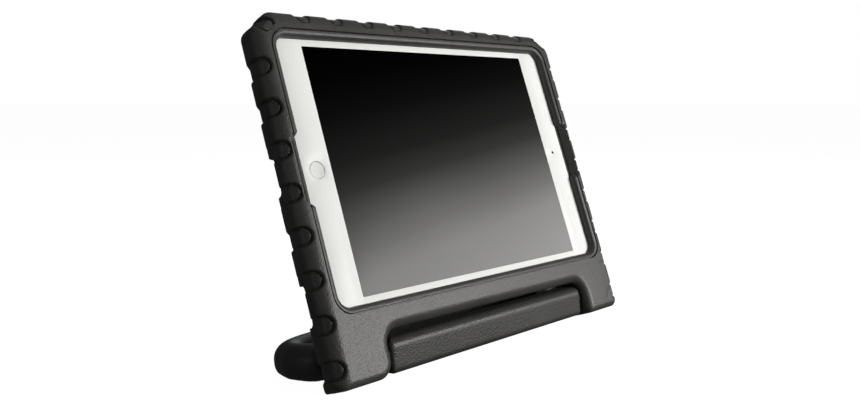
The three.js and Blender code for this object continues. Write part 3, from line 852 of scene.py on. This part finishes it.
def make_home_button():
    """A shallow dish with a softly rounded rim."""
    net = Stitcher()
    edge = HOME_R - 0.24
    profile = [
        (0.4, -0.42), (1.6, -0.4), (3, -0.33), (4.1, -0.2), (4.5, -0.12), (4.75, -0.2),
        (edge, -0.4), (edge, -1.7),
    ]
    rows = [net.row(np.column_stack([circle(HOME_U, 0, r), np.full(64, z)])) for r, z in profile]
    for a, b in zip(rows, rows[1:]):
        net.band(a, b)
    net.fill(rows[0])
    net.fill(rows[-1])
    return add_mesh("home_button_cap", on_case(net.all_points()), net.faces)


# ------------------------------------------------------------------ materials

class Nodes:
    """A small helper for building a node material."""

    def __init__(self, name):
        self.material = bpy.data.materials.new(name)
        self.material.use_nodes = True
        self.tree = self.material.node_tree
        self.shader = self.tree.nodes["Principled BSDF"]
        self.place = self.add("ShaderNodeTexCoord").outputs["Object"]

    def add(self, kind, **values):
        node = self.tree.nodes.new(kind)
        for key, value in values.items():
            setattr(node, key, value)
        return node

    def link(self, start, end):
        self.tree.links.new(start, end)

    def set(self, **values):
        for key, value in values.items():
            self.shader.inputs[key.replace("_", " ")].default_value = value

    def noise(self, scale, detail=4, rough=0.5, stretch=None):
        node = self.add("ShaderNodeTexNoise")
        node.inputs["Scale"].default_value = scale
        node.inputs["Detail"].default_value = detail
        node.inputs["Roughness"].default_value = rough
        place = self.place
        if stretch:
            mapping = self.add("ShaderNodeMapping")
            mapping.inputs["Scale"].default_value = stretch
            self.link(place, mapping.inputs["Vector"])
            place = mapping.outputs["Vector"]
        self.link(place, node.inputs["Vector"])
        return node.outputs["Fac"]

    def cells(self, scale, smooth):
        node = self.add("ShaderNodeTexVoronoi", feature="SMOOTH_F1")
        node.inputs["Scale"].default_value = scale
        node.inputs["Smoothness"].default_value = smooth
        self.link(self.place, node.inputs["Vector"])
        return node.outputs["Distance"]

    def ramp(self, factor, stops):
        """A colour ramp. A new one has two elements, which take the first and last stop."""
        node = self.add("ShaderNodeValToRGB")
        elements = node.color_ramp.elements
        for i, (position, value) in enumerate([stops[0], stops[-1]] + stops[1:-1]):
            colour = value if isinstance(value, tuple) else (value, value, value)
            element = elements[i] if i < 2 else elements.new(position)
            element.position = position
            element.color = (*colour, 1)
        self.link(factor, node.inputs["Fac"])
        return node.outputs["Color"]

    def math(self, kind, a, b):
        node = self.add("ShaderNodeMath", operation=kind)
        for socket, value in zip(node.inputs, (a, b)):
            if isinstance(value, (int, float)):
                socket.default_value = value
            else:
                self.link(value, socket)
        return node.outputs["Value"]

    def bump(self, height, distance, strength):
        node = self.add("ShaderNodeBump")
        node.inputs["Distance"].default_value = distance
        node.inputs["Strength"].default_value = strength
        self.link(height, node.inputs["Height"])
        return node.outputs["Normal"]

    def finish(self, colour=None, roughness=None, normal=None):
        for socket, value in (("Base Color", colour), ("Roughness", roughness), ("Normal", normal)):
            if value is not None:
                self.link(value, self.shader.inputs[socket])
        return self.material


def foam_material(name, dark, light):
    """Closed-cell foam with a fine leather grain moulded into its skin."""
    nodes = Nodes(name)
    nodes.set(Specular_IOR_Level=0.34)
    patches = nodes.noise(28, 3)
    grain = nodes.cells(1000, 0.6)
    creases = nodes.noise(900, 3, 0.5)
    coarse = nodes.math("MULTIPLY", grain, 0.75)
    height = nodes.math("ADD", coarse, nodes.math("MULTIPLY", creases, 0.9))
    normal = nodes.bump(height, 0.00017, 0.8)
    broad = nodes.math("MULTIPLY", patches, 0.6)
    mix = nodes.math("ADD", broad, nodes.math("MULTIPLY", creases, 0.4))
    colour = nodes.ramp(mix, [(0.3, dark), (0.72, light)])
    roughness = nodes.ramp(mix, [(0.3, 0.4), (0.75, 0.48)])
    return nodes.finish(colour, roughness, normal)


def border_material():
    nodes = Nodes("white_glass_border")
    nodes.set(Specular_IOR_Level=0.06)
    fleck = nodes.noise(60, 3)
    colour = nodes.ramp(fleck, [(0.2, (0.80, 0.805, 0.80)), (0.8, (0.83, 0.835, 0.83))])
    return nodes.finish(colour, nodes.ramp(fleck, [(0.2, 0.16), (0.8, 0.2)]))


def screen_painted_reflection_material():
    """A dark screen with a painted reflection: its colour grows lighter towards its lower edge, and a
    little towards its right.
    """
    nodes = Nodes("screen_painted_reflection")
    nodes.set(Specular_IOR_Level=0.01)
    split = nodes.add("ShaderNodeSeparateXYZ")
    nodes.link(nodes.place, split.inputs["Vector"])
    low = float(screen_low[2])
    high = float(screen_high[2])
    half_w = float(screen_high[0])
    up = nodes.math("DIVIDE", nodes.math("SUBTRACT", split.outputs["Z"], low), high - low)
    across = nodes.math("DIVIDE", split.outputs["X"], half_w)
    shade = nodes.math("SUBTRACT", up, nodes.math("MULTIPLY", across, 0.1))
    fleck = nodes.noise(140, 2)
    shade = nodes.math("ADD", nodes.math("MULTIPLY", shade, 0.82), 0.09)
    # Painted reflection: near black at the top of the screen, grey towards the bottom.
    colour = nodes.ramp(shade, [
        (0.0, 0.31), (0.05, 0.29), (0.13, 0.262), (0.22, 0.23), (0.31, 0.15), (0.4, 0.088),
        (0.5, 0.033), (0.59, 0.014), (0.75, 0.004), (0.88, 0.001), (1.0, 0.0002),
    ])
    return nodes.finish(colour, nodes.ramp(fleck, [(0.2, 0.22), (0.8, 0.26)]))


def tablet_metal_material():
    """Bead-blasted metal, with painted shade: a dull, dark line round the glass on the metal's front
    rim.
    """
    nodes = Nodes("tablet_metal")
    nodes.set(Metallic=1.0)
    split = nodes.add("ShaderNodeSeparateXYZ")
    nodes.link(nodes.place, split.inputs["Vector"])
    origin = float(SCREEN_MIDDLE @ OUT)
    across = nodes.math("MULTIPLY", split.outputs["Y"], float(OUT[1]))
    up = nodes.math("MULTIPLY", split.outputs["Z"], float(OUT[2]))
    front = nodes.math("SUBTRACT", nodes.math("ADD", across, up), origin - 0.5 * MM)
    painted_dark_rim = nodes.math("MULTIPLY", front, 1 / (0.25 * MM))
    grain = nodes.noise(2500, 2)
    # Painted shade: the colour falls to dark at the metal's front rim next to the glass.
    colour = nodes.ramp(nodes.math("ADD", painted_dark_rim, nodes.math("MULTIPLY", grain, 0.1)), [
        (0.0, 0.55), (0.1, 0.6), (1.0, 0.1),
    ])
    return nodes.finish(colour, nodes.ramp(painted_dark_rim, [(0.0, 0.36), (1.0, 0.8)]))


def metal_material(name, shade, rough):
    nodes = Nodes(name)
    nodes.set(Metallic=1.0)
    brushed = nodes.noise(900, 3, stretch=(1, 12, 12))
    colour = nodes.ramp(brushed, [(0.25, shade * 0.9), (0.75, shade)])
    return nodes.finish(colour, nodes.ramp(brushed, [(0.25, rough), (0.75, rough + 0.1)]))


def plastic_material(name, shade, rough, coat=0.0, gloss=0.5):
    nodes = Nodes(name)
    nodes.set(Coat_Weight=coat, Specular_IOR_Level=gloss)
    speckle = nodes.noise(1400, 3)
    dark = tuple(0.85 * c for c in shade)
    colour = nodes.ramp(speckle, [(0.25, dark), (0.75, shade)])
    roughness = nodes.ramp(speckle, [(0.25, rough), (0.75, rough + 0.08)])
    return nodes.finish(colour, roughness, nodes.bump(speckle, 0.00002, 0.5))


def wear(piece, material):
    piece.data.materials.clear()
    piece.data.materials.append(material)


# ------------------------------------------------------------------ the pieces

foam = foam_material("charcoal_foam", (0.032, 0.0315, 0.030), (0.056, 0.0555, 0.053))
# Painted shade: a darker copy of the same foam, for the shade the handle lies in.
painted_shade_foam = foam_material("charcoal_foam_painted_shade", (0.021, 0.0207, 0.0197), (0.037, 0.0366, 0.035))

case = make_case()
wear(case, foam)
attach(case, "case")
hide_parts("case_shell", "front_lip_top", "front_lip_bottom")

handle = make_handle()
wear(handle, painted_shade_foam)
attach(handle, "handle")
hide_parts("handle_grip")

border, panel = make_front()
wear(border, border_material())
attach(border, "tablet")
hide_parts("tablet_front_bezel")

wear(panel, screen_painted_reflection_material())
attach(panel, "tablet")
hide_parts("tablet_screen")

home = make_home_button()
wear(home, plastic_material("home_button_white", (0.82, 0.825, 0.82), 0.3, gloss=0.06))
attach(home, "home_key")
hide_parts("home_button")

black_plastic = plastic_material("black_plastic", (0.018, 0.018, 0.019), 0.45)
lens = plastic_material("lens_glass", (0.01, 0.01, 0.014), 0.1, 0.6)
aluminium = metal_material("brushed_aluminium", 0.6, 0.32)
# Painted shade: the hinge pins' steel is near black, for the dark gap at the bar's ends.
hinge_pin_painted_shade = metal_material("steel_painted_shade", 0.02, 0.55)
connector = metal_material("connector_metal", 0.4, 0.35)
battery = plastic_material("battery_wrap", (0.05, 0.05, 0.055), 0.5)
board = plastic_material("green_board", (0.02, 0.09, 0.04), 0.45)

CAD_FINISHES = {
    "hinge_socket_left": black_plastic,
    "hinge_socket_right": black_plastic,
    "handle_core": black_plastic,
    "hinge_pin_left": hinge_pin_painted_shade,
    "hinge_pin_right": hinge_pin_painted_shade,
    "tablet_back_cover": tablet_metal_material(),
    "power_button": aluminium,
    "volume_up_button": aluminium,
    "volume_down_button": aluminium,
    "tablet_front_camera": lens,
    "rear_camera": lens,
    "battery_left": battery,
    "battery_right": battery,
    "main_board": board,
    "speaker_left": black_plastic,
    "speaker_right": black_plastic,
    "charging_port": connector,
    "headphone_jack": black_plastic,
}
for node, material in CAD_FINISHES.items():
    wear(frame["nodes"][node], material)


# ------------------------------------------------------------------ the studio

def area_light(name, place, target, size, power, tint=(1, 1, 1)):
    light = bpy.data.lights.new(name, "AREA")
    light.shape = "RECTANGLE"
    light.size, light.size_y = size
    light.energy = power
    light.color = tint
    lamp = bpy.data.objects.new(name, light)
    lamp.location = place
    lamp.rotation_euler = (Vector(target) - Vector(place)).to_track_quat("-Z", "Y").to_euler()
    bpy.context.scene.collection.objects.link(lamp)
    return lamp


FLOOR_HALF = 30
FLOOR_BELOW = 0.0002  # so that the floor doesn't share a plane with the legs' feet
FILL = 0.06

CAMERA_PLACE = (-0.3794, -0.3604, 0.15419)
CAMERA_DOWN = math.radians(7.378)
CAMERA_TURN = math.radians(-44.897)
CAMERA_LENS = 33.902


def add_floor():
    half = FLOOR_HALF
    corners = [(-half, -half, 0), (half, -half, 0), (half, half, 0), (-half, half, 0)]
    mesh = bpy.data.meshes.new("floor")
    mesh.from_pydata(corners, [], [(0, 1, 2, 3)])
    floor = bpy.data.objects.new("floor", mesh)
    floor.location.z = -FLOOR_BELOW
    bpy.context.scene.collection.objects.link(floor)
    floor.visible_diffuse = False
    floor.visible_glossy = False
    nodes = Nodes("pale_floor")
    nodes.set(Emission_Color=(1, 1, 1, 1), Emission_Strength=0.97)
    nodes.set(Roughness=0.9, Specular_IOR_Level=0.0)
    colour = nodes.ramp(nodes.noise(3, 2), [(0.2, 0.2), (0.8, 0.22)])
    mesh.materials.append(nodes.finish(colour))


def add_world():
    """White to the camera, and a dim even fill for everything else."""
    world = bpy.data.worlds.new("studio")
    bpy.context.scene.world = world
    world.use_nodes = True
    tree = world.node_tree
    tree.nodes.clear()
    output = tree.nodes.new("ShaderNodeOutputWorld")
    mix = tree.nodes.new("ShaderNodeMixShader")
    path = tree.nodes.new("ShaderNodeLightPath")
    fill = tree.nodes.new("ShaderNodeBackground")
    fill.inputs["Color"].default_value = (1, 1, 1, 1)
    fill.inputs["Strength"].default_value = FILL
    white = tree.nodes.new("ShaderNodeBackground")
    white.inputs["Color"].default_value = (1, 1, 1, 1)
    white.inputs["Strength"].default_value = 1.0
    tree.links.new(path.outputs["Is Camera Ray"], mix.inputs["Fac"])
    tree.links.new(fill.outputs[0], mix.inputs[1])
    tree.links.new(white.outputs[0], mix.inputs[2])
    tree.links.new(mix.outputs[0], output.inputs["Surface"])


def add_camera():
    data = bpy.data.cameras.new("camera")
    data.sensor_width = 36
    data.lens = CAMERA_LENS
    camera = bpy.data.objects.new("camera", data)
    camera.location = CAMERA_PLACE
    camera.rotation_euler = (math.pi / 2 - CAMERA_DOWN, 0, CAMERA_TURN)
    bpy.context.scene.collection.objects.link(camera)
    bpy.context.scene.camera = camera


middle = (0, 0, 0.1)
area_light("key_right", (0.72, -1.16, 0.4), middle, (0.8, 0.4), 23, (1, 0.99, 0.96))
area_light("rim_right", (1.1, 0.9, 0.6), middle, (0.8, 0.8), 2.5, (0.95, 0.98, 1))
area_light("soft_left", (-1.4, -0.3, 0.5), middle, (0.8, 0.8), 1.5)
area_light("overhead", (0.1, 0.1, 1.5), middle, (1.6, 1.2), 2.5)
add_floor()
add_world()
add_camera()
bpy.context.scene.view_settings.view_transform = "Standard"
